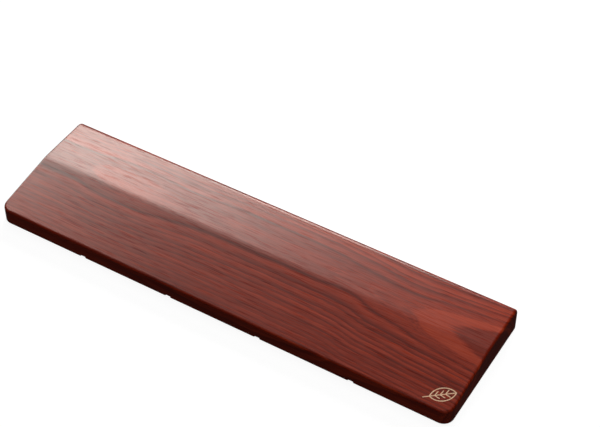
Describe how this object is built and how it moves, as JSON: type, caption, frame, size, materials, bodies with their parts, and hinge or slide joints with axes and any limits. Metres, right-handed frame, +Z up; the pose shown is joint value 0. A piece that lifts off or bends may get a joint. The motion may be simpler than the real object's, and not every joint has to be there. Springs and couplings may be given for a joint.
{
  "type": "keyboard wrist rest",
  "caption": "Solid wood wrist rest: a long plank, level along the back and sloping down to the front, with an engraved leaf, relief grooves and rubber grip pads underneath.",
  "frame": {"origin": "bottom centre of the rest: on the table, midway along its length and between its front and back edges", "axes": "+X along the length, towards the emblem's end; +Y towards the keyboard, the thicker edge; +Z up"},
  "size_m": [0.361, 0.099, 0.0205],
  "materials": {
    "stained_hardwood": "red-brown stain under satin lacquer, fine open grain along the length",
    "pale_lacquer": "pale tan lacquer fill, satin",
    "grip_rubber": "black anti-slip rubber sheet, matt, finely textured",
    "adhesive_film": "translucent double-sided adhesive film"
  },
  "bodies": {
    "root": {"wooden_body": "stained_hardwood", "emblem_fill": "pale_lacquer", "grip_pad_left_end": "grip_rubber", "glue_film_left_end": "adhesive_film", "grip_pad_left": "grip_rubber", "glue_film_left": "adhesive_film", "grip_pad_middle": "grip_rubber", "glue_film_middle": "adhesive_film", "grip_pad_right": "grip_rubber", "glue_film_right": "adhesive_film", "grip_pad_right_end": "grip_rubber", "glue_film_right_end": "adhesive_film"}
  },
  "joints": []
}
